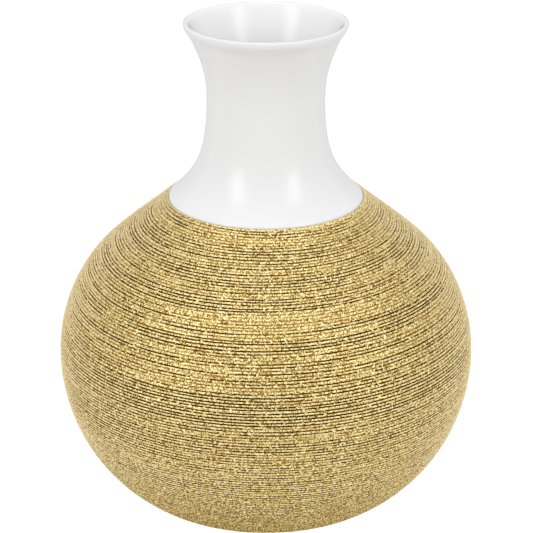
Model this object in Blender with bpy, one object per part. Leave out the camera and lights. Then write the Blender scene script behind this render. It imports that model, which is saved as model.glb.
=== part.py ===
"""Porcelain vase: a white flared neck on a squat globe that wears a raised gold coat.

Every piece is a body of revolution about the Z axis. One outer line is described below with
two elliptical arcs, two cubic curves and a rounded lip. The pieces are cut from that line, so
they follow each other with an even gap. Lengths are in metres, the vase stands on z = 0.
"""
import math
from bisect import bisect_left

import bmesh
import bpy

# ---- outer line ----
TOTAL_HEIGHT = 0.210
WIDEST_RADIUS = 0.090
BASE_EDGE_RADIUS = 0.058
BASE_EDGE_HEIGHT = 0.002
LOWER_ARC_ACROSS = 0.0665
LOWER_ARC_UP = 0.0717
UPPER_ARC_ACROSS = 0.0615
UPPER_ARC_UP = 0.06425
UPPER_ARC_END = math.radians(50.6)
WAIST_RADIUS = 0.0249
WAIST_HEIGHT = 0.1783
SHOULDER_PULL = 0.0422
WAIST_PULL_DOWN = 0.0374
WAIST_PULL_UP = 0.0161
LIP_PULL = 0.002
LIP_OUTER_RADIUS = 0.0343
LIP_LEAN = math.radians(25.3)
LIP_THICKNESS = 0.00216

# ---- how the outer line is shared out ----
BORDER_HEIGHT = 0.1338
SEAM_HEIGHT = 0.1285
GAP = 0.0003
COAT_THICKNESS = 0.0010
COAT_STANDS_PROUD = 0.0004
COAT_NOSE = 0.00025
WALL_AT_SEAM = 0.0050
GLOBE_INNER_INSET = 0.0050

# ---- base ----
UNDERSIDE_RIM_HEIGHT = 0.0023
UNDERSIDE_HEIGHT = 0.0040
UNDERSIDE_RIM_EASE = 0.0012
FLOOR_HEIGHT = 0.0090
FLOOR_EASE = 0.0032
FOOT_OUTER_RADIUS = 0.053
FOOT_WIDTH = 0.0065
FOOT_EDGE = 0.0007

# ---- mesh density ----
SEGMENTS = 48
LINE_SAMPLES = 240


def unit(across, up):
    """The direction (across, up) at length one."""
    length = math.hypot(across, up)
    return across / length, up / length


def elliptic_arc(centre, semi, start, end, count):
    """Points on an ellipse quarter, from angle start to angle end."""
    points = []
    for step in range(count):
        angle = start + (end - start) * step / (count - 1)
        points.append((centre[0] + semi[0] * math.cos(angle), centre[1] + semi[1] * math.sin(angle)))
    return points


def cubic(p0, p1, p2, p3, count):
    """Points on a cubic Bezier curve."""
    points = []
    for step in range(count):
        t = step / (count - 1)
        s = 1.0 - t
        weights = (s * s * s, 3 * s * s * t, 3 * s * t * t, t * t * t)
        corners = (p0, p1, p2, p3)
        points.append(tuple(sum(w * c[axis] for w, c in zip(weights, corners)) for axis in (0, 1)))
    return points


def outer_line():
    """The outside of the vase from the base edge to where the lip starts to turn over."""
    reach = (BASE_EDGE_RADIUS - WIDEST_RADIUS + LOWER_ARC_ACROSS) / LOWER_ARC_ACROSS
    start = -math.acos(reach)
    widest_height = BASE_EDGE_HEIGHT - LOWER_ARC_UP * math.sin(start)

    centre = (WIDEST_RADIUS - LOWER_ARC_ACROSS, widest_height)
    line = elliptic_arc(centre, (LOWER_ARC_ACROSS, LOWER_ARC_UP), start, 0.0, LINE_SAMPLES)

    centre = (WIDEST_RADIUS - UPPER_ARC_ACROSS, widest_height)
    line += elliptic_arc(centre, (UPPER_ARC_ACROSS, UPPER_ARC_UP), 0.0, UPPER_ARC_END, LINE_SAMPLES)[1:]

    joint = line[-1]
    along = unit(-UPPER_ARC_ACROSS * math.sin(UPPER_ARC_END), UPPER_ARC_UP * math.cos(UPPER_ARC_END))
    waist = (WAIST_RADIUS, WAIST_HEIGHT)
    leave = (joint[0] + SHOULDER_PULL * along[0], joint[1] + SHOULDER_PULL * along[1])
    line += cubic(joint, leave, (WAIST_RADIUS, WAIST_HEIGHT - WAIST_PULL_DOWN), waist, LINE_SAMPLES)[1:]

    half = LIP_THICKNESS / 2
    lip_start = (LIP_OUTER_RADIUS, TOTAL_HEIGHT - half - half * math.sin(LIP_LEAN))
    arrive = (lip_start[0] - LIP_PULL * math.sin(LIP_LEAN), lip_start[1] - LIP_PULL * math.cos(LIP_LEAN))
    line += cubic(waist, (WAIST_RADIUS, WAIST_HEIGHT + WAIST_PULL_UP), arrive, lip_start, LINE_SAMPLES)[1:]
    return line


LINE = outer_line()


def measure(line):
    """Distance walked along the line at each of its points."""
    walked = [0.0]
    for a, b in zip(line, line[1:]):
        walked.append(walked[-1] + math.hypot(b[0] - a[0], b[1] - a[1]))
    return walked


WALKED = measure(LINE)


def station(distance, inset):
    """Point on the line after a walked distance, moved inwards square to the line."""
    distance = min(max(distance, 0.0), WALKED[-1])
    index = min(max(bisect_left(WALKED, distance), 1), len(WALKED) - 1)
    a = LINE[index - 1]
    b = LINE[index]
    part = (distance - WALKED[index - 1]) / (WALKED[index] - WALKED[index - 1])
    across, up = unit(b[0] - a[0], b[1] - a[1])
    radius = a[0] + part * (b[0] - a[0]) - inset * up
    height = a[1] + part * (b[1] - a[1]) + inset * across
    return radius, height


def distance_to(height, inset=0.0):
    """Distance walked when the line, moved inwards, first reaches a height."""
    for distance in WALKED:
        if station(distance, inset)[1] >= height:
            return distance
    return WALKED[-1]


def walk(start, end, count, inset):
    """Evenly spaced stations; inset is a length, or a function of the part of the way walked."""
    points = []
    for step in range(count):
        part = step / (count - 1)
        depth = inset(part) if callable(inset) else inset
        points.append(station(start + (end - start) * part, depth))
    return points


def add_lathe(name, loop, material):
    """Turn a closed loop of (radius, height) points, inside to the left, into a closed body."""
    mesh = bpy.data.meshes.new(name)
    body = bmesh.new()
    rings = []
    for radius, height in loop:
        if radius < 1e-7:
            rings.append([body.verts.new((0.0, 0.0, height))])
            continue
        ring = []
        for step in range(SEGMENTS):
            angle = 2 * math.pi * step / SEGMENTS
            ring.append(body.verts.new((radius * math.cos(angle), radius * math.sin(angle), height)))
        rings.append(ring)
    for low, high in zip(rings, rings[1:] + rings[:1]):
        if len(low) == 1 and len(high) == 1:
            continue
        for step in range(SEGMENTS):
            after = (step + 1) % SEGMENTS
            if len(low) == 1:
                body.faces.new((low[0], high[after], high[step]))
            elif len(high) == 1:
                body.faces.new((low[step], low[after], high[0]))
            else:
                body.faces.new((low[step], low[after], high[after], high[step]))
    body.to_mesh(mesh)
    body.free()
    for face in mesh.polygons:
        face.use_smooth = True
    mesh.set_sharp_from_angle(angle=math.radians(35))
    mesh.materials.append(material)
    piece = bpy.data.objects.new(name, mesh)
    bpy.context.scene.collection.objects.link(piece)
    return piece


def add_material(name, colour, roughness, metallic, coat):
    """A Principled material."""
    material = bpy.data.materials.new(name)
    material.use_nodes = True
    shader = material.node_tree.nodes["Principled BSDF"]
    shader.inputs["Base Color"].default_value = (*colour, 1.0)
    shader.inputs["Roughness"].default_value = roughness
    shader.inputs["Metallic"].default_value = metallic
    shader.inputs["Coat Weight"].default_value = coat
    return material


def add_neck():
    """White neck: a rebate under the coat, the shoulder, the waist, the flare and the lip."""
    seam = distance_to(SEAM_HEIGHT) + GAP / 2
    border = distance_to(BORDER_HEIGHT)
    waist = distance_to(WAIST_HEIGHT)
    end = WALKED[-1]

    def outside(part):
        here = border + (end - border) * part
        left = max(0.0, (waist - here) / (waist - border))
        return COAT_STANDS_PROUD * left * left

    def inside(part):
        return LIP_THICKNESS + (WALL_AT_SEAM - LIP_THICKNESS) * part ** 1.5

    loop = walk(seam, border + GAP + COAT_NOSE, 4, COAT_THICKNESS + GAP)
    loop += walk(border + GAP + COAT_NOSE, end, 20, outside)
    half = LIP_THICKNESS / 2
    centre = station(end, half)
    turn = elliptic_arc(centre, (half, half), -LIP_LEAN, math.pi - LIP_LEAN, 7)
    loop += turn[1:-1]
    loop += walk(end, seam, 16, inside)
    material = add_material("white_glazed_porcelain", (0.86, 0.86, 0.85), 0.12, 0.0, 0.6)
    return add_lathe("neck", loop, material)


def add_globe():
    """Hollow globe with a flat floor, and a rebate underneath for the foot ring."""
    seam = distance_to(SEAM_HEIGHT) - GAP / 2
    outside = walk(distance_to(UNDERSIDE_RIM_HEIGHT), seam, 14, COAT_THICKNESS + GAP)
    inside = walk(seam, distance_to(FLOOR_HEIGHT + FLOOR_EASE, GLOBE_INNER_INSET), 13, GLOBE_INNER_INSET)
    rebate = FOOT_OUTER_RADIUS + GAP
    loop = [(0.0, UNDERSIDE_HEIGHT), (rebate, UNDERSIDE_HEIGHT), (rebate, UNDERSIDE_RIM_HEIGHT)]
    loop += [(outside[0][0] - UNDERSIDE_RIM_EASE, UNDERSIDE_RIM_HEIGHT)]
    loop += outside
    loop += inside
    loop += [(inside[-1][0] - FLOOR_EASE, FLOOR_HEIGHT), (0.0, FLOOR_HEIGHT)]
    material = add_material("porcelain_body", (0.84, 0.84, 0.82), 0.18, 0.0, 0.4)
    return add_lathe("globe", loop, material)


def add_gold_coat():
    """Raised gold coat: an even skin with a rounded edge at the border and at the base."""
    start = distance_to(UNDERSIDE_RIM_HEIGHT + COAT_NOSE)
    end = distance_to(BORDER_HEIGHT)
    middle = COAT_THICKNESS / 2
    loop = [station(start - COAT_NOSE, middle)]
    loop += walk(start, end, 17, 0.0)
    loop += [station(end + COAT_NOSE, middle)]
    loop += walk(end, start, 17, COAT_THICKNESS)
    material = add_material("gold_lustre_relief", (0.80, 0.60, 0.24), 0.34, 1.0, 0.0)
    return add_lathe("gold_coat", loop, material)


def add_foot_ring():
    """Unglazed ring with eased edges, set into the rebate under the globe."""
    inner = FOOT_OUTER_RADIUS - FOOT_WIDTH
    top = UNDERSIDE_HEIGHT - GAP
    loop = [(inner + FOOT_EDGE, 0.0), (FOOT_OUTER_RADIUS - FOOT_EDGE, 0.0)]
    loop += [(FOOT_OUTER_RADIUS, FOOT_EDGE), (FOOT_OUTER_RADIUS, top)]
    loop += [(inner, top), (inner, FOOT_EDGE)]
    material = add_material("unglazed_porcelain", (0.72, 0.70, 0.65), 0.85, 0.0, 0.0)
    return add_lathe("foot_ring", loop, material)


def clear_scene():
    """Start from an empty file."""
    for item in list(bpy.data.objects):
        bpy.data.objects.remove(item, do_unlink=True)


def main():
    clear_scene()
    add_foot_ring()
    add_globe()
    add_gold_coat()
    add_neck()


main()
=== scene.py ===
import math

import bmesh
import bpy
import numpy as np
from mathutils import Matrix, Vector


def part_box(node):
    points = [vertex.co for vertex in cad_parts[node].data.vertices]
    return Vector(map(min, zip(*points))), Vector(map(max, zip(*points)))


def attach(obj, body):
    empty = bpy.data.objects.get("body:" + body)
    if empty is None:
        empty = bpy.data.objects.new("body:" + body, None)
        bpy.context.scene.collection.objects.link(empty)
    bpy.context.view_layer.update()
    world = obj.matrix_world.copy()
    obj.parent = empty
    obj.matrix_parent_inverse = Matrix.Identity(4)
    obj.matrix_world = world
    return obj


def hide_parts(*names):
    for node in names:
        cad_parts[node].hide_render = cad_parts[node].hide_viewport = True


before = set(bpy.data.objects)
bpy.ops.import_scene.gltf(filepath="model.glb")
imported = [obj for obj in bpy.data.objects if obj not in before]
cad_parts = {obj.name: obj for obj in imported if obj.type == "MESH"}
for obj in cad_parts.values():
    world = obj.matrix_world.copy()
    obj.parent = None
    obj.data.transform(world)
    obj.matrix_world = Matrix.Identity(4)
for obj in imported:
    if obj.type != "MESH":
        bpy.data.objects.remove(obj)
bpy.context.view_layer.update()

RNG = np.random.default_rng(20177)

# ---- camera, matched to the photo; lengths here and below are in metres unless a comment says otherwise ----
CAMERA_POSITION = (0.0, -0.765, 0.4127)
CAMERA_PITCH_DOWN = math.radians(22.19)
CAMERA_LENS = 128.74  # millimetres
CAMERA_SENSOR = 36.0  # millimetres
CAMERA_SHIFT_X = 0.0011  # share of the picture's width
CAMERA_CLIP = (0.01, 50.0)

# ---- studio ----
FLOOR_REACH = 6.0
FLOOR_TONE = 0.15
FLOOR_GLOW = 0.95
LIGHT_TARGET = (0.0, 0.0, 0.1)
SOFTBOXES = (  # name, place, width and height, radiance
    ("left_box", (-0.95, -0.85, 0.95), (0.45, 1.0), 3.35),
    ("right_box", (0.95, -0.85, 0.95), (0.45, 1.0), 3.0),
    ("top_box", (0.0, -0.05, 1.3), (0.36, 0.30), 6.0))

# ---- rings of the gold coat ----
COLUMNS = 1024
LINE_POINTS = 1200
LINE_LEAD = 0.001  # how far the coat's line is led on past its upper end, for the lap there
RING_PITCH = 0.00133
RING_JITTER = 0.00004
GROOVE_HALF = 0.000185
GROOVE_SHOULDER = 0.00033
RING_LEAST_PITCH = 2.2 * GROOVE_SHOULDER
GROOVE_DEPTH = 0.00034
RIDGE_BULGE = 0.00005
RIDGE_SIDE = -0.3 * RIDGE_BULGE
RIDGE_OWN_GRAIN = 0.5
FLOOR_OWN_GRAIN = 0.5
STRIP_OWN_GRAIN = 0.3
GRAIN_HEIGHT = 0.000050
GRAIN_RATES = ((0.3, 2.0), (0.14, 0.42))  # slowest and quickest, per row and per column
WAVES = ((0.0004, 14, 90), (0.00008, 0.3, 26))  # height of the wave, its reach in rings and in columns
WAVE_LIMIT = 0.0008
WAVE_FADE = 0.05  # share of the coat, at each end
GILT_STRIP = 0.0004  # uncut strip at the upper edge
GILT_TILT = 0.0006  # how much the uppermost rings lean
GILT_TILT_REACH = 0.012
FOOT_STRIP = 0.0006  # uncut strip at the lower edge
LAST_RIDGE_END = 0.25  # of that strip
EDGE_LAP = ((-0.00042, -0.00034), (-0.00028, -0.00015), (-0.00012, -0.00003))  # distance down, height

# ---- how much of a ring is carved; a place is a share of the way down the coat ----
CARVED_ZONES = ((0.00, -0.22), (0.06, -0.06), (0.14, 0.03), (0.17, 0.07), (0.21, -0.05), (0.25, 0.08),
                (0.29, -0.16), (0.35, -0.20), (0.39, -0.02), (0.44, 0.08), (0.48, 0.25), (0.56, 0.03),
                (0.62, 0.13), (0.69, 0.06), (0.78, 0.10), (0.88, 0.12), (1.00, 0.06))
CARVED_USUAL = 0.56
CARVED_BROAD = 0.05
CARVED_LOCAL = 0.13
CARVED_BY_RING = 0.20
CARVED_SPECK = 0.10
CARVED_SPECK_BELOW = 0.26
LOWER_HALF = (0.50, 0.20)  # where a part starts and the reach of the change into it
LOWEST_PART = (0.74, 0.22)
TOP_END = 0.30
TOP_REACH = 0.10
DEPTH_LEAST = 0.38
DEPTH_RISE = (0.40, 0.36)  # carved value at which the depth starts to rise, and the reach of the rise
BROAD_REACH = (2.2, 110)  # rings, columns
LOCAL_REACH = (0.8, 36)
SPECK_REACH = (0.2, 1.0)
PATCH_REACH = (1.2, 14)

# ---- short bridges, beads and faint stretches that break a ring ----
LONG_DASH = 0.0065
DASH_SPREAD = 1.0  # of the logarithm of a run's length
LOW_DASH_CUT = 0.75
BRIDGE_SHARE = 0.72
WIDE_BRIDGE_SHARE = 0.35
FAINT_SHARE = 0.45
FAINT_LENGTH = 0.9  # of a long dash
BEAD_USUAL = 0.05
BEAD_PATCH = 0.02
BEAD_LOW = 0.12
BEAD_TOP = 0.03
BEAD_LIMITS = (0.01, 0.35)
BEAD_FILL = 0.85

# ---- tone of the gold, 0 dark to 1 light ----
LAP_TONE = 0.62
STRIP_TONE = 0.66
# painted shade: the coat's lowest edge, next to the foot, is darkened
FOOT_EDGE_PAINTED_SHADE = 0.25
BACK_TONE = 0.5
RING_TONE = 0.68
WEAVE_TONE = 0.08
WEAVE_TONE_BARE = 0.03
BRIDGE_TONE = 0.14
BRIDGE_ROWS = (1.0, 1.0, 0.5, 0.0, 0.0)  # how much of it each of a ring's five rows takes
BARE_TONE = 0.14
BARE_REACH = (1.0, 3.0)  # rings, columns
# painted shade: the lowest part of the coat, which faces down, is darkened
LOW_PAINTED_SHADE = 0.40
WEAVE_RATES = ((0.16, 0.45), (0.26, 0.70))  # slowest and quickest, per row and per column

# ---- shells of the coat, and each one's flat layout as shares of a strip's width ----
BAND_COUNT = 7
BAND_THICKNESS = 0.0009
BAND_GAP = 0.00001
LAYOUT_MARGIN = 0.005
LAYOUT_OUTER = 0.93
LAYOUT_BACK = (0.95, 0.97, 0.985)

# ---- gold lustre ----
GOLD_TONES = ((0.00, (0.19, 0.10, 0.020)), (0.34, (0.45, 0.315, 0.090)),
              (0.58, (0.65, 0.51, 0.190)), (1.00, (0.87, 0.78, 0.43)))
# painted reflection: a pale colour mixed into the gold where it is seen edge on
GOLD_PAINTED_REFLECTION = (0.80, 0.71, 0.49)
GOLD_TINT = (1.0, 0.88, 0.66, 1.0)
GOLD_ROUGHNESS = (0.60, 0.44)
GOLD_BUMP = (0.5, 0.0002)  # strength, distance
FOOT_SHADE = (0.008, 0.040)  # heights between which the painted reflection comes in; below them, by the foot, it is left out
PAINTED_REFLECTION_SHARE = (0.40, 0.92, 0.0, 0.85)  # the painted reflection's share, from facing values to shares
GROOVE_SEEN = (0.55, 0.90, 1.0, 0.30)  # the share of the grooves' painted shade, in the same way
GROOVE_EDGE_DARKNESS = (0.05, 0.45)  # groove values between which the painted shade comes in
GROOVE_FLOOR_DARKNESS = (0.35, 0.8)
# painted shade in the grooves: dark brown on their edges, near black on their floors
GROOVE_EDGE_PAINTED_SHADE = (0.25, 0.105, 0.012)
GROOVE_FLOOR_PAINTED_SHADE = (0.030, 0.008, 0.0006)
DULL_IOR = 1.05
# fine grain of the lustre, partly painted glints that stand for sparkle
CELLS_PER_METRE = 2100.0
CELL_GRAIN_AND_GLINT_CONTRAST = 0.50
SPECKLE_PER_METRE = 1700.0
SPECKLE_AND_GLINT_CONTRAST = 2.8
GRAIN_PER_METRE = 2600.0

# ---- white pieces ----
SMOOTH_SEGMENTS = 256
SMOOTH_SPACING = 0.0012
SHARP_CORNER = math.radians(30)
NECK_RISE = 0.00025  # how much the glaze stands up next to the gold
NECK_RISE_START = (-0.0004, 0.0003)  # from the border, and the reach of the change
NECK_RISE_REACH = 0.016
# painted shade: from this height up, the neck's glaze is darkened
HIGH_FROM = 0.135
HIGH_REACH = 0.055
# painted light: where the surface faces the axis, inside the vase, the glaze is made whiter
INSIDE_GAIN = 2.0
INSIDE_LEAST = 0.2
NECK_WHITE = (0.67, 0.67, 0.672)
GLOBE_WHITE = (0.68, 0.68, 0.682)
NECK_ROUGHNESS = 0.20
GLOBE_ROUGHNESS = 0.12
CLOUD_ROUGHNESS = 1.25
# painted light inside the vase
INSIDE_PAINTED_LIGHT = (0.715, 0.715, 0.715)
CLOUD_SHADE = 0.985
# painted shade up the neck
HIGH_PAINTED_SHADE = 0.945
# painted shade: the glaze darkened where it is seen edge on, a grey outline at the silhouette
EDGE_ON_PAINTED_SHADE = ((0.45, (1.0, 1.0, 1.0)), (0.75, (0.88, 0.88, 0.88)), (1.0, (0.40, 0.40, 0.40)))
CLOUDS_PER_METRE = 45.0
RIPPLES_PER_METRE = 55.0
GLAZE_BUMP = (0.15, 0.0004)  # strength, distance
GLAZE_IOR = 1.5
BISQUE_TONES = ((0.3, (0.70, 0.67, 0.62)), (0.7, (0.82, 0.80, 0.76)))
BISQUE_GRAIN_PER_METRE = 1500.0
BISQUE_BUMP = (0.4, 0.0001)
NOISE_MIDDLE = (0.3, 0.7)  # most noise values lie between these


# ======================================================================
# lines read from the CAD
# ======================================================================
def section_loop(node):
    """The closed cross-section of a turned CAD node, as ordered (radius, height) points.

    The flat faces of a node that reaches its axis have no middle point, so one is added.
    """
    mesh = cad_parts[node].data
    to_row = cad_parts[node].matrix_world
    keys = {}
    for vertex in mesh.vertices:
        p = to_row @ vertex.co
        if abs(p.y) < 1e-6 and p.x > -1e-6:
            keys[vertex.index] = (abs(round(p.x, 6)), round(p.z, 6))
    near = {}
    for edge in mesh.edges:
        a, b = edge.vertices
        if a in keys and b in keys and keys[a] != keys[b]:
            near.setdefault(keys[a], set()).add(keys[b])
            near.setdefault(keys[b], set()).add(keys[a])
    ends = sorted(key for key in near if len(near[key]) == 1)
    start = ends[0] if ends else min(near)
    loop = [start]
    before = None
    here = start
    while True:
        onward = sorted(p for p in near[here] if p != before)
        if not onward:
            break
        before, here = here, onward[0]
        if here == start:
            break
        loop.append(here)
    if ends:
        loop = [(0.0, loop[0][1])] + loop + [(0.0, loop[-1][1])]
    return np.array(loop)


def outer_run(loop):
    """The run from the highest to the lowest point of a loop on its outer side, top first."""
    ordered = np.roll(loop, -int(np.argmax(loop[:, 1])), axis=0)
    low = int(np.argmin(ordered[:, 1]))
    one = ordered[:low + 1]
    other = np.vstack([ordered[low:], ordered[:1]])[::-1]
    return one if one[:, 0].mean() > other[:, 0].mean() else other


def distances(points):
    """How far along a line each of its points is."""
    return np.concatenate(([0.0], np.cumsum(np.hypot(*np.diff(points, axis=0).T))))


def natural_spline(points, count):
    """Evenly spaced points on a cubic spline through the given ones."""
    t = distances(points)
    step = np.diff(t)
    n = len(points)
    fine = np.linspace(0.0, t[-1], count)
    if n < 3:
        return np.stack([np.interp(fine, t, points[:, k]) for k in (0, 1)], axis=1)
    matrix = np.zeros((n, n))
    right = np.zeros((n, 2))
    matrix[0, :2] = (1.0, -1.0)
    matrix[-1, -2:] = (-1.0, 1.0)
    slope = np.diff(points, axis=0) / step[:, None]
    for k in range(1, n - 1):
        matrix[k, k - 1:k + 2] = (step[k - 1], 2.0 * (step[k - 1] + step[k]), step[k])
        right[k] = 6.0 * (slope[k] - slope[k - 1])
    bend = np.linalg.solve(matrix, right)
    k = np.clip(np.searchsorted(t, fine, side="right") - 1, 0, n - 2)
    h = step[k][:, None]
    a = ((t[k + 1] - fine)[:, None]) / h
    b = 1.0 - a
    return (a * points[k] + b * points[k + 1]
            + ((a ** 3 - a) * bend[k] + (b ** 3 - b) * bend[k + 1]) * h ** 2 / 6.0)


def refine(loop):
    """A closed section with its smooth runs redrawn as splines between sharp corners."""
    ahead = np.roll(loop, -1, axis=0) - loop
    behind = loop - np.roll(loop, 1, axis=0)
    turn = np.arctan2(behind[:, 0] * ahead[:, 1] - behind[:, 1] * ahead[:, 0], (behind * ahead).sum(axis=1))
    corners = [k for k in range(len(loop)) if abs(turn[k]) > SHARP_CORNER]
    runs = []
    for k, first in enumerate(corners):
        last = corners[(k + 1) % len(corners)]
        if last <= first:
            last += len(loop)
        run = loop[[j % len(loop) for j in range(first, last + 1)]]
        runs.append(natural_spline(run, max(2, int(distances(run)[-1] / SMOOTH_SPACING)))[:-1])
    return np.vstack(runs)


# ======================================================================
# meshes
# ======================================================================
def make_mesh(name, positions, faces, smooth=True):
    """A mesh object from an (n, 3) array and an (m, 4) array of quads."""
    mesh = bpy.data.meshes.new(name)
    mesh.vertices.add(len(positions))
    mesh.vertices.foreach_set("co", np.ascontiguousarray(positions, dtype=np.float32).ravel())
    mesh.loops.add(faces.size)
    mesh.loops.foreach_set("vertex_index", np.ascontiguousarray(faces, dtype=np.int32).ravel())
    mesh.polygons.add(len(faces))
    mesh.polygons.foreach_set("loop_start", np.arange(0, faces.size, 4, dtype=np.int32))
    mesh.polygons.foreach_set("loop_total", np.full(len(faces), 4, dtype=np.int32))
    mesh.polygons.foreach_set("use_smooth", np.full(len(faces), smooth))
    mesh.update(calc_edges=True)
    mesh.validate()
    thing = bpy.data.objects.new(name, mesh)
    bpy.context.scene.collection.objects.link(thing)
    return thing


def torus_faces(rows, columns):
    """Quads of a grid that closes on itself both ways; rows run round the section."""
    r = np.arange(rows)[:, None]
    c = np.arange(columns)[None, :]
    below = (r + 1) % rows
    beside = (c + 1) % columns
    corners = [r * columns + c, below * columns + c, below * columns + beside, r * columns + beside]
    return np.stack(corners, axis=-1).reshape(-1, 4)


def round_the_axis(radius, up, angle):
    """Positions of a grid from each point's radius and height and each column's angle."""
    return np.stack([radius * np.cos(angle), radius * np.sin(angle), up], axis=-1).reshape(-1, 3)


def vertex_positions(mesh):
    """The mesh's vertices as an (n, 3) array."""
    flat = np.empty(len(mesh.vertices) * 3, dtype=np.float32)
    mesh.vertices.foreach_get("co", flat)
    return flat.reshape(-1, 3).astype(float)


def set_value(mesh, name, values):
    """A number on every vertex, for the material to read."""
    attribute = mesh.attributes.new(name, "FLOAT", "POINT")
    attribute.data.foreach_set("value", values.ravel().astype(np.float32))


def face_outwards(thing):
    """Turns a closed mesh's faces so that its volume is positive."""
    mesh = thing.data
    mesh.calc_loop_triangles()
    index = np.empty(len(mesh.loop_triangles) * 3, dtype=np.int32)
    mesh.loop_triangles.foreach_get("vertices", index)
    a, b, c = vertex_positions(mesh)[index.reshape(-1, 3)].transpose(1, 0, 2)
    if np.einsum("ij,ij->i", a, np.cross(b, c)).sum() < 0:
        mesh.flip_normals()
    return thing


def turned(name, section):
    """A body of revolution from a closed section of (radius, height) points."""
    angle = np.linspace(0.0, 2.0 * np.pi, SMOOTH_SEGMENTS, endpoint=False)
    up = np.repeat(section[:, 1][:, None], SMOOTH_SEGMENTS, axis=1)
    positions = round_the_axis(section[:, 0][:, None], up, angle)
    faces = torus_faces(len(section), SMOOTH_SEGMENTS)
    on_axis = np.hypot(positions[:, 0], positions[:, 1]) < 1e-6
    thing = make_mesh(name, positions, faces[on_axis[faces].sum(axis=1) < 4])
    if on_axis.any():
        shape = bmesh.new()
        shape.from_mesh(thing.data)
        middle = [v for v in shape.verts if math.hypot(v.co.x, v.co.y) < 1e-6]
        bmesh.ops.remove_doubles(shape, verts=middle, dist=1e-6)
        shape.to_mesh(thing.data)
        shape.free()
    return face_outwards(thing)


def hand_over(piece, node, material):
    """Gives a piece its material, hangs it on the root body and hides the CAD node that it stands for."""
    piece.data.materials.append(material)
    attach(piece, "root")
    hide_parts(node)


# ======================================================================
# random fields over the rings
# ======================================================================
def rise(value, start, reach):
    """0 up to the start, 1 from the end of the reach on and straight between."""
    return np.clip((value - start) / reach, 0.0, 1.0)


def rates(field):
    """How quickly each Fourier term of a field changes per row and per column."""
    return np.fft.fftfreq(field.shape[0])[:, None], np.fft.rfftfreq(field.shape[1])[None, :]


def filtered(field, keep):
    """A field with each Fourier term weakened to its share."""
    return np.fft.irfft2(np.fft.rfft2(field) * keep, s=field.shape)


def unit_spread(field):
    """A field moved and scaled to a mean of 0 and a spread of 1."""
    return (field - field.mean()) / field.std()


def smoothed(field, row_reach, column_reach):
    """A field smoothed over the given numbers of rows and columns."""
    by_row, by_column = rates(field)
    bend = (by_row * row_reach) ** 2 + (by_column * column_reach) ** 2
    return filtered(field, np.exp(-2.0 * np.pi ** 2 * bend))


def smooth_field(rows, row_reach, column_reach):
    """Random field of unit spread, smoothed over the given numbers of rows and columns."""
    return unit_spread(smoothed(RNG.standard_normal((rows, COLUMNS)), row_reach, column_reach))


def fine_field(rows, row_rates, column_rates):
    """Random field of unit spread that keeps only quick changes, between the given rates per cell."""
    raw = RNG.standard_normal((rows, COLUMNS))
    by_row, by_column = rates(raw)
    keep = 1.0 - np.exp(-((by_row / row_rates[0]) ** 2 + (by_column / column_rates[0]) ** 2))
    keep = keep * np.exp(-(by_row / row_rates[1]) ** 4 - (by_column / column_rates[1]) ** 4)
    return unit_spread(filtered(raw, keep))


# ======================================================================
# carved gold coat
# ======================================================================
def column_angles():
    """The angle of each column round the axis."""
    return np.linspace(0.0, 2.0 * np.pi, COLUMNS, endpoint=False)


def ring_centres(line):
    """Where each ring's groove runs down the line, column by column, with its usual place and radius."""
    walked = distances(line)
    count = int((walked[-1] - GILT_STRIP - FOOT_STRIP) / RING_PITCH)
    middle = GILT_STRIP + RING_PITCH * (np.arange(count) + 0.5)
    middle[1:] += RING_JITTER * RNG.standard_normal(count - 1)
    down = middle / walked[-1]
    wave = sum(height * smooth_field(count, rings, columns) for height, rings, columns in WAVES)
    fade = rise(np.minimum(down, 1.0 - down), 0.0, WAVE_FADE)[:, None]
    centre = middle[:, None] + fade * np.clip(wave, -WAVE_LIMIT, WAVE_LIMIT)
    centre += GILT_TILT * np.exp(-middle / GILT_TILT_REACH)[:, None] * np.cos(column_angles())
    for k in range(1, count):
        centre[k] = np.maximum(centre[k], centre[k - 1] + RING_LEAST_PITCH)
    return centre, down, np.interp(middle, walked, line[:, 0])


def dash_row(long_dash):
    """One groove from 0 to 1: heavy-tailed full runs, short bridges of 0 and longer faint stretches.

    The length of a long dash is in columns.
    """
    row = np.zeros(COLUMNS)
    here = 0
    while here < COLUMNS:
        run = int(max(1, RNG.lognormal(math.log(long_dash), DASH_SPREAD)))
        row[here:here + run] = 1.0
        here += run
        if RNG.random() < BRIDGE_SHARE:
            here += 1 + int(RNG.random() < WIDE_BRIDGE_SHARE)
        else:
            gap = 1 + int(RNG.exponential(FAINT_LENGTH * long_dash))
            row[here + 1:here + gap] = FAINT_SHARE
            here += gap
    return np.roll(row, int(RNG.integers(COLUMNS)))


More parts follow.
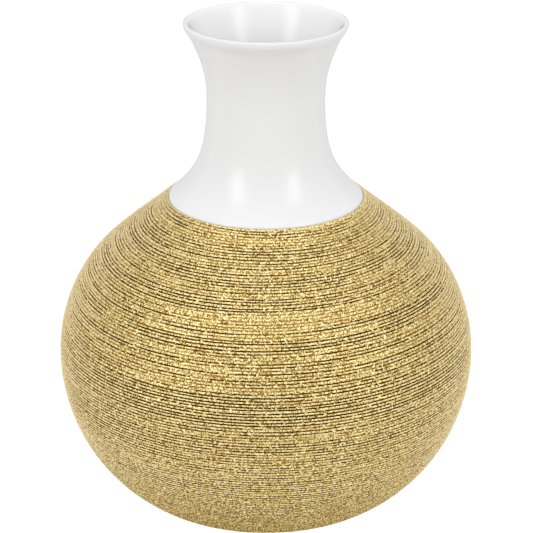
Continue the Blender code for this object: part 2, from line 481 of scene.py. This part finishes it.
def ring_grooves(down, radius):
    """How deep each ring is cut at each column, from 0 to 1, and where a bridge or a bead breaks it."""
    count = len(down)
    broad = smooth_field(count, *BROAD_REACH)
    local = smooth_field(count, *LOCAL_REACH)
    speck = smooth_field(count, *SPECK_REACH)
    by_ring = RNG.standard_normal((count, 1))
    low_part = rise(down, *LOWEST_PART)[:, None]
    top_part = rise(TOP_END - down, 0.0, TOP_REACH)[:, None]
    zone = np.interp(down, *np.transpose(CARVED_ZONES))[:, None]
    speck_share = CARVED_SPECK + CARVED_SPECK_BELOW * rise(down, *LOWER_HALF)[:, None]
    carved = (CARVED_USUAL + zone + CARVED_BROAD * broad + CARVED_LOCAL * local
              + CARVED_BY_RING * by_ring + speck_share * speck)
    depth = DEPTH_LEAST + (1.0 - DEPTH_LEAST) * rise(carved, *DEPTH_RISE)

    patch = smooth_field(count, *PATCH_REACH)
    bead_share = BEAD_USUAL + BEAD_PATCH * patch + BEAD_LOW * low_part + BEAD_TOP * top_part
    bead = RNG.random((count, COLUMNS)) < np.clip(bead_share, *BEAD_LIMITS)
    depth *= 1.0 - BEAD_FILL * bead

    dashes = np.zeros((count, COLUMNS))
    for k in range(count):
        column_size = 2.0 * math.pi * radius[k] / COLUMNS
        dashes[k] = dash_row(LONG_DASH * (1.0 - LOW_DASH_CUT * low_part[k, 0]) / column_size)
    return dashes * depth, np.maximum(dashes == 0.0, bead)


def ring_tones(groove, broken, down):
    """The gold's tone on the five rows of each ring, with painted shade on the lowest part of the coat."""
    count = len(down)
    bridge = broken[:, None, :] * np.array(BRIDGE_ROWS)[None, :, None]
    weave = fine_field(5 * count, *WEAVE_RATES).reshape(count, 5, COLUMNS)
    bare = (1.0 - smoothed(groove, *BARE_REACH))[:, None, :]
    weave_tone = WEAVE_TONE + WEAVE_TONE_BARE * bare
    tones = RING_TONE + weave_tone * weave + BRIDGE_TONE * bridge - BARE_TONE * bare
    # painted shade on the lowest part
    return tones - LOW_PAINTED_SHADE * rise(down, *LOWEST_PART)[:, None, None]


def coat_row(distance, height, dark, tone):
    """One row of the coat: distance down, height, groove value (painted as shade in the grooves) and tone at
    each column.
    """
    return [np.broadcast_to(value, COLUMNS) for value in (distance, height, dark, tone)]


def carve(line):
    """The rows of the coat's outer side, upper edge first, and the number of each ring's first row."""
    centre, down, radius = ring_centres(line)
    groove, broken = ring_grooves(down, radius)
    count = len(down)
    length = distances(line)[-1]
    ridge = GRAIN_HEIGHT * (RIDGE_OWN_GRAIN * RNG.standard_normal((count, 3, COLUMNS))
                            + fine_field(count, *GRAIN_RATES)[:, None, :])
    floor_grain = FLOOR_OWN_GRAIN * GRAIN_HEIGHT * RNG.standard_normal((count, 2, COLUMNS))
    tones = ring_tones(groove, broken, down)

    rows = [coat_row(distance, height, 0.0, LAP_TONE) for distance, height in EDGE_LAP]
    for part in (0.0, 0.5, 1.0):
        height = STRIP_OWN_GRAIN * part * GRAIN_HEIGHT * RNG.standard_normal(COLUMNS)
        tone = STRIP_TONE + 0.5 * part * (tones[0, 4] - STRIP_TONE)
        rows.append(coat_row(part * (centre[0] - GROOVE_SHOULDER), height, 0.0, tone))
    cuts = []
    for k in range(count):
        after = centre[k + 1] if k + 1 < count else length - LAST_RIDGE_END * FOOT_STRIP
        cuts.append(len(rows))
        for side, distance in enumerate((centre[k] - GROOVE_HALF, centre[k] + GROOVE_HALF)):
            height = -GROOVE_DEPTH * groove[k] + floor_grain[k, side]
            rows.append(coat_row(distance, height, groove[k], tones[k, side]))
        rows.append(coat_row(centre[k] + GROOVE_SHOULDER, ridge[k, 0] + RIDGE_SIDE, 0.0, tones[k, 2]))
        rows.append(coat_row(0.5 * (centre[k] + after), ridge[k, 1] + RIDGE_BULGE, 0.0, tones[k, 3]))
        rows.append(coat_row(after - GROOVE_SHOULDER, ridge[k, 2] + RIDGE_SIDE, 0.0, tones[k, 4]))
    # painted shade at the lowest edge, by the foot
    rows.append(coat_row(length, 0.0, 0.0, FOOT_EDGE_PAINTED_SHADE))
    return np.array(rows), cuts


def over_line(line, distance, height):
    """Radius and height above the floor of points at a distance down the line and a height over it.

    The line is led on a little past its upper end.
    """
    walked = distances(line)
    lead = line[0] + (line[0] - line[1]) / walked[1] * LINE_LEAD
    line = np.vstack([lead, line])
    walked = np.concatenate(([-LINE_LEAD], walked))
    tangent = np.gradient(line, walked, axis=0)
    normal = np.stack([-tangent[:, 1], tangent[:, 0]], axis=1)
    normal /= np.hypot(*normal.T)[:, None]
    if normal[len(normal) // 2, 0] < 0:
        normal = -normal
    radius = np.interp(distance, walked, line[:, 0]) + height * np.interp(distance, walked, normal[:, 0])
    up = np.interp(distance, walked, line[:, 1]) + height * np.interp(distance, walked, normal[:, 1])
    return radius, up


def lay_out(band, walk_share):
    """A flat layout of one band for texture baking: its two halves as strips, one above the other.

    walk_share holds each row's place across a strip, from 0 to 1.
    """
    mesh = band.data
    index = np.empty(len(mesh.loops), dtype=np.int32)
    mesh.loops.foreach_get("vertex_index", index)
    index = index.reshape(-1, 4)
    row = index // COLUMNS
    column = index % COLUMNS
    over = (column.max(axis=1) - column.min(axis=1) > 1)[:, None]
    column = np.where(over & (column == 0), COLUMNS, column)
    half = COLUMNS // 2
    strip = (column.min(axis=1) // half)[:, None]
    closing = (row.max(axis=1) - row.min(axis=1) > 1)[:, None]
    across = np.where(closing & (row == 0), 1.0, walk_share[row])
    u = LAYOUT_MARGIN + (1.0 - 2.0 * LAYOUT_MARGIN) * (column - strip * half) / half
    v = LAYOUT_MARGIN + 0.5 * strip + (0.5 - 3.0 * LAYOUT_MARGIN) * across
    layer = mesh.uv_layers.new(name="OFBake")
    layer.data.foreach_set("uv", np.stack([u, v], axis=-1).astype(np.float32).ravel())


def coat_band(name, line, rows):
    """One closed shell of the coat: its outer rows and three plain ones behind them."""
    distance, height, dark, tone = rows.transpose(1, 0, 2)
    behind = [(1 - part) * distance[0] + part * distance[-1] for part in (1.0, 0.5, 0.0)]
    blank = np.zeros((len(behind), COLUMNS))
    radius, up = over_line(line, np.vstack([distance, behind]), np.vstack([height, blank - BAND_THICKNESS]))
    band = make_mesh(name, round_the_axis(radius, up, column_angles()), torus_faces(len(radius), COLUMNS))
    set_value(band.data, "groove", np.vstack([dark, blank]))
    set_value(band.data, "tone", np.vstack([tone, blank + BACK_TONE]))
    face_outwards(band)
    walk = distance.mean(axis=1)
    outer_share = LAYOUT_OUTER * (walk - walk[0]) / (walk[-1] - walk[0])
    lay_out(band, np.concatenate([outer_share, LAYOUT_BACK]))
    return band


def gold_coat(material):
    """The gold coat as carved closed shells, one above the other."""
    line = natural_spline(outer_run(section_loop("gold_coat")), LINE_POINTS)
    rows, cuts = carve(line)
    share = len(rows) / BAND_COUNT
    edges = [0]
    for k in range(1, BAND_COUNT):
        edges.append(min(cuts, key=lambda cut: abs(cut - k * share)))
    edges.append(len(rows) - 1)
    for k in range(BAND_COUNT):
        band_rows = rows[edges[k]:edges[k + 1] + 1].copy()
        if k + 1 < BAND_COUNT:
            band_rows[-1, 0] -= BAND_GAP
        band = coat_band(f"gold_band_{k + 1}", line, band_rows)
        hand_over(band, "gold_coat", material)


# ======================================================================
# shader nodes
# ======================================================================
def new_material(name):
    """An empty node material with its Principled shader."""
    material = bpy.data.materials.new(name)
    material.use_nodes = True
    tree = material.node_tree
    tree.nodes.clear()
    out = tree.nodes.new("ShaderNodeOutputMaterial")
    shader = tree.nodes.new("ShaderNodeBsdfPrincipled")
    tree.links.new(shader.outputs["BSDF"], out.inputs["Surface"])
    return material, tree, shader


def vertex_value(tree, name):
    """The number that set_value left on the vertices."""
    node = tree.nodes.new("ShaderNodeAttribute")
    node.attribute_name = name
    return node.outputs["Fac"]


def place(tree):
    """Object coordinates."""
    return tree.nodes.new("ShaderNodeTexCoord").outputs["Object"]


def facing(tree):
    """0 where the surface faces the viewer, 1 where it is seen edge on."""
    node = tree.nodes.new("ShaderNodeLayerWeight")
    node.inputs["Blend"].default_value = 0.5
    return node.outputs["Facing"]


def noise(tree, scale, detail, rough=0.5):
    """Noise over object coordinates; the scale is in cycles per metre."""
    node = tree.nodes.new("ShaderNodeTexNoise")
    node.inputs["Scale"].default_value = scale
    node.inputs["Detail"].default_value = detail
    node.inputs["Roughness"].default_value = rough
    tree.links.new(place(tree), node.inputs["Vector"])
    return node.outputs["Fac"]


def cells(tree, scale):
    """A random value for each small cell of the surface."""
    node = tree.nodes.new("ShaderNodeTexVoronoi")
    node.inputs["Scale"].default_value = scale
    tree.links.new(place(tree), node.inputs["Vector"])
    split = tree.nodes.new("ShaderNodeSeparateColor")
    tree.links.new(node.outputs["Color"], split.inputs["Color"])
    return split.outputs["Red"]


def ramp(tree, source, stops):
    """Colour ramp with (position, colour) stops."""
    node = tree.nodes.new("ShaderNodeValToRGB")
    band = node.color_ramp
    while len(band.elements) > 1:
        band.elements.remove(band.elements[-1])
    band.elements[0].position = stops[0][0]
    band.elements[0].color = (*stops[0][1], 1.0)
    for position, colour in stops[1:]:
        band.elements.new(position).color = (*colour, 1.0)
    tree.links.new(source, node.inputs["Fac"])
    return node.outputs["Color"]


def mix(tree, factor, a, b, blend="MIX"):
    """Colour mix; a and b are sockets or colours."""
    node = tree.nodes.new("ShaderNodeMix")
    node.data_type = "RGBA"
    node.blend_type = blend
    if isinstance(factor, (int, float)):
        node.inputs["Factor"].default_value = factor
    else:
        tree.links.new(factor, node.inputs["Factor"])
    for name, value in (("A", a), ("B", b)):
        socket = [s for s in node.inputs if s.name == name and s.type == "RGBA"][0]
        if isinstance(value, tuple):
            socket.default_value = (*value, 1.0)
        else:
            tree.links.new(value, socket)
    return [s for s in node.outputs if s.type == "RGBA"][0]


def spread(tree, source, low, high, out_low, out_high):
    """A value moved from one range to another and held inside it."""
    node = tree.nodes.new("ShaderNodeMapRange")
    for name, value in (("From Min", low), ("From Max", high), ("To Min", out_low), ("To Max", out_high)):
        node.inputs[name].default_value = value
    tree.links.new(source, node.inputs["Value"])
    return node.outputs["Result"]


def calculate(tree, operation, *values):
    """A Math node; its inputs are sockets or numbers."""
    node = tree.nodes.new("ShaderNodeMath")
    node.operation = operation
    for socket, value in zip(node.inputs, values):
        if isinstance(value, (int, float)):
            socket.default_value = value
        else:
            tree.links.new(value, socket)
    return node.outputs["Value"]


def add_bump(tree, shader, height, strength, distance):
    """Small unevenness of the surface from a height value."""
    bump = tree.nodes.new("ShaderNodeBump")
    bump.inputs["Strength"].default_value = strength
    bump.inputs["Distance"].default_value = distance
    tree.links.new(height, bump.inputs["Height"])
    tree.links.new(bump.outputs["Normal"], shader.inputs["Normal"])


# ======================================================================
# materials
# ======================================================================
def gold_tone(tree):
    """The coat's tone with a fine grain of cells and speckles over it, partly the lustre's own grain and
    partly painted glints.
    """
    ease = calculate(tree, "SUBTRACT", vertex_value(tree, "tone"), 0.5 * CELL_GRAIN_AND_GLINT_CONTRAST)
    grain_and_glint = calculate(tree, "MULTIPLY_ADD", cells(tree, CELLS_PER_METRE), CELL_GRAIN_AND_GLINT_CONTRAST, ease)
    reach = 0.5 * SPECKLE_AND_GLINT_CONTRAST
    speckle_and_glint = spread(tree, noise(tree, SPECKLE_PER_METRE, detail=0.0), 0.0, 1.0, -reach, reach)
    return calculate(tree, "ADD", grain_and_glint, speckle_and_glint)


def gold_material():
    """Pale gold lustre over porcelain, with dull dark brown painted shade in the grooves and a pale painted
    reflection edge on.
    """
    material, tree, shader = new_material("gold_lustre_carved")
    light = ramp(tree, gold_tone(tree), GOLD_TONES)
    away = facing(tree)
    split = tree.nodes.new("ShaderNodeSeparateXYZ")
    tree.links.new(place(tree), split.inputs["Vector"])
    above_foot = spread(tree, split.outputs["Z"], *FOOT_SHADE, 0.0, 1.0)
    # painted reflection of the pale surroundings, edge on, left out near the foot
    painted_reflection = spread(tree, away, *PAINTED_REFLECTION_SHARE)
    gilt_and_reflection = mix(tree, calculate(tree, "MULTIPLY", painted_reflection, above_foot), light, GOLD_PAINTED_REFLECTION)

    # painted shade: grooves coloured dark brown and made dull, less so where seen edge on
    groove = vertex_value(tree, "groove")
    seen = spread(tree, away, *GROOVE_SEEN)
    edge = calculate(tree, "MULTIPLY", spread(tree, groove, *GROOVE_EDGE_DARKNESS, 0.0, 1.0), seen)
    groove_floor_shade = calculate(tree, "MULTIPLY", spread(tree, groove, *GROOVE_FLOOR_DARKNESS, 0.0, 1.0), seen)
    colour = mix(tree, groove_floor_shade, mix(tree, edge, gilt_and_reflection, GROOVE_EDGE_PAINTED_SHADE), GROOVE_FLOOR_PAINTED_SHADE)
    tree.links.new(colour, shader.inputs["Base Color"])
    tree.links.new(spread(tree, edge, 0.0, 1.0, 1.0, 0.0), shader.inputs["Metallic"])
    shader.inputs["IOR"].default_value = DULL_IOR
    shader.inputs["Specular Tint"].default_value = GOLD_TINT

    grain = noise(tree, GRAIN_PER_METRE, detail=2.0, rough=0.6)
    tree.links.new(spread(tree, grain, *NOISE_MIDDLE, *GOLD_ROUGHNESS), shader.inputs["Roughness"])
    add_bump(tree, shader, grain, *GOLD_BUMP)
    return material


def scaled(colour, share):
    """A colour made darker."""
    return tuple(share * part for part in colour)


def glaze_material(name, colour, roughness):
    """White glazed porcelain, barely uneven, with painted light inside the vase and painted shade up the neck
    and edge on.
    """
    material, tree, shader = new_material(name)
    cloud = noise(tree, CLOUDS_PER_METRE, detail=3.0)
    outside = ramp(tree, cloud, tuple(zip(NOISE_MIDDLE, (scaled(colour, CLOUD_SHADE), colour))))
    # painted shade: the glaze darkened up the neck
    painted_shade_up_neck = mix(tree, vertex_value(tree, "high"), outside, scaled(colour, HIGH_PAINTED_SHADE))
    # painted light: whiter glaze inside the vase
    white = mix(tree, vertex_value(tree, "inside"), painted_shade_up_neck, INSIDE_PAINTED_LIGHT)
    # painted shade edge on
    painted_edge_shade = ramp(tree, facing(tree), EDGE_ON_PAINTED_SHADE)
    tree.links.new(mix(tree, 1.0, white, painted_edge_shade, "MULTIPLY"), shader.inputs["Base Color"])
    rough = spread(tree, cloud, *NOISE_MIDDLE, roughness, roughness * CLOUD_ROUGHNESS)
    tree.links.new(rough, shader.inputs["Roughness"])
    shader.inputs["IOR"].default_value = GLAZE_IOR
    add_bump(tree, shader, noise(tree, RIPPLES_PER_METRE, detail=1.0), *GLAZE_BUMP)
    return material


def bisque_material():
    """Unglazed porcelain with a dry, fine grain."""
    material, tree, shader = new_material("unglazed_foot")
    grain = noise(tree, BISQUE_GRAIN_PER_METRE, detail=3.0, rough=0.6)
    tree.links.new(ramp(tree, grain, BISQUE_TONES), shader.inputs["Base Color"])
    shader.inputs["Roughness"].default_value = 0.8
    add_bump(tree, shader, grain, *BISQUE_BUMP)
    return material


# ======================================================================
# smooth pieces
# ======================================================================
def mark_painted_light_and_shade(piece):
    """Vertex values: how far the surface faces the axis, for painted light inside the vase, and how high up
    the neck it is, for painted shade there.
    """
    mesh = piece.data
    spot = vertex_positions(mesh)
    normal = np.array([vertex.normal for vertex in mesh.vertices])
    radius = np.maximum(np.hypot(*spot[:, :2].T), 1e-6)
    towards = -(spot[:, :2] * normal[:, :2]).sum(axis=1) / radius
    # mask for the painted light inside the vase
    set_value(mesh, "inside", np.clip(towards * INSIDE_GAIN + INSIDE_LEAST, 0.0, 1.0))
    # mask for the painted shade up the neck
    set_value(mesh, "high", rise(spot[:, 2], HIGH_FROM, HIGH_REACH))


def raise_at_border(section, border):
    """The neck's outer side lifted next to the gold's edge, fading out up the neck."""
    ahead = np.roll(section, -1, axis=0) - np.roll(section, 1, axis=0)
    normal = np.stack([ahead[:, 1], -ahead[:, 0]], axis=1)
    normal /= np.maximum(np.hypot(*normal.T), 1e-9)[:, None]
    area = (section[:, 0] * np.roll(section[:, 1], -1) - np.roll(section[:, 0], -1) * section[:, 1]).sum()
    normal *= np.sign(area)
    up = section[:, 1] - border
    fade = rise(up, *NECK_RISE_START) * (1.0 - rise(up, 0.0, NECK_RISE_REACH))
    outer = normal[:, 0] > 0.1
    return section + normal * (NECK_RISE * fade * outer)[:, None]


def smooth_piece(name, node, material):
    """A finer turned copy of a CAD node."""
    section = refine(section_loop(node))
    if node == "neck":
        section = raise_at_border(section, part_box("gold_coat")[1][2])
    piece = turned(name, section)
    mark_painted_light_and_shade(piece)
    hand_over(piece, node, material)


# ======================================================================
# studio
# ======================================================================
def floor():
    """A large sheet that glows white, for the vase to stand on."""
    corners = ((-1, -1, 0), (1, -1, 0), (1, 1, 0), (-1, 1, 0))
    sheet = make_mesh("floor", FLOOR_REACH * np.array(corners, float), np.array([[0, 1, 2, 3]]), smooth=False)
    material, _, shader = new_material("floor_white")
    shader.inputs["Base Color"].default_value = (FLOOR_TONE, FLOOR_TONE, FLOOR_TONE, 1.0)
    shader.inputs["Roughness"].default_value = 1.0
    shader.inputs["Specular IOR Level"].default_value = 0.0
    shader.inputs["Emission Color"].default_value = (1.0, 1.0, 1.0, 1.0)
    shader.inputs["Emission Strength"].default_value = FLOOR_GLOW
    sheet.data.materials.append(material)


def softbox(name, position, size, radiance):
    """A rectangular soft light; radiance is how bright its face looks."""
    data = bpy.data.lights.new(name, "AREA")
    data.shape = "RECTANGLE"
    data.size, data.size_y = size
    data.energy = radiance * size[0] * size[1] * math.pi
    light = bpy.data.objects.new(name, data)
    bpy.context.scene.collection.objects.link(light)
    light.location = position
    light.rotation_euler = (Vector(LIGHT_TARGET) - Vector(position)).to_track_quat("-Z", "Y").to_euler()


def camera():
    """The photo's camera."""
    data = bpy.data.cameras.new("camera")
    data.lens = CAMERA_LENS
    data.sensor_width = CAMERA_SENSOR
    data.shift_x = CAMERA_SHIFT_X
    data.clip_start, data.clip_end = CAMERA_CLIP
    thing = bpy.data.objects.new("camera", data)
    bpy.context.scene.collection.objects.link(thing)
    thing.location = CAMERA_POSITION
    thing.rotation_euler = (math.pi / 2 - CAMERA_PITCH_DOWN, 0.0, 0.0)
    bpy.context.scene.camera = thing


def studio():
    """White surroundings, the soft lights and plain colours."""
    world = bpy.data.worlds.new("studio")
    world.use_nodes = True
    world.node_tree.nodes["Background"].inputs["Color"].default_value = (1.0, 1.0, 1.0, 1.0)
    world.node_tree.nodes["Background"].inputs["Strength"].default_value = 1.0
    bpy.context.scene.world = world
    for name, position, size, radiance in SOFTBOXES:
        softbox(name, position, size, radiance)
    bpy.context.scene.view_settings.view_transform = "Standard"


def build():
    """Everything in order."""
    glaze = glaze_material("white_glaze", NECK_WHITE, NECK_ROUGHNESS)
    body = glaze_material("porcelain_body", GLOBE_WHITE, GLOBE_ROUGHNESS)
    smooth_piece("porcelain_neck", "neck", glaze)
    smooth_piece("porcelain_globe", "globe", body)
    smooth_piece("porcelain_foot", "foot_ring", bisque_material())
    gold_coat(gold_material())
    floor()
    studio()
    camera()


build()
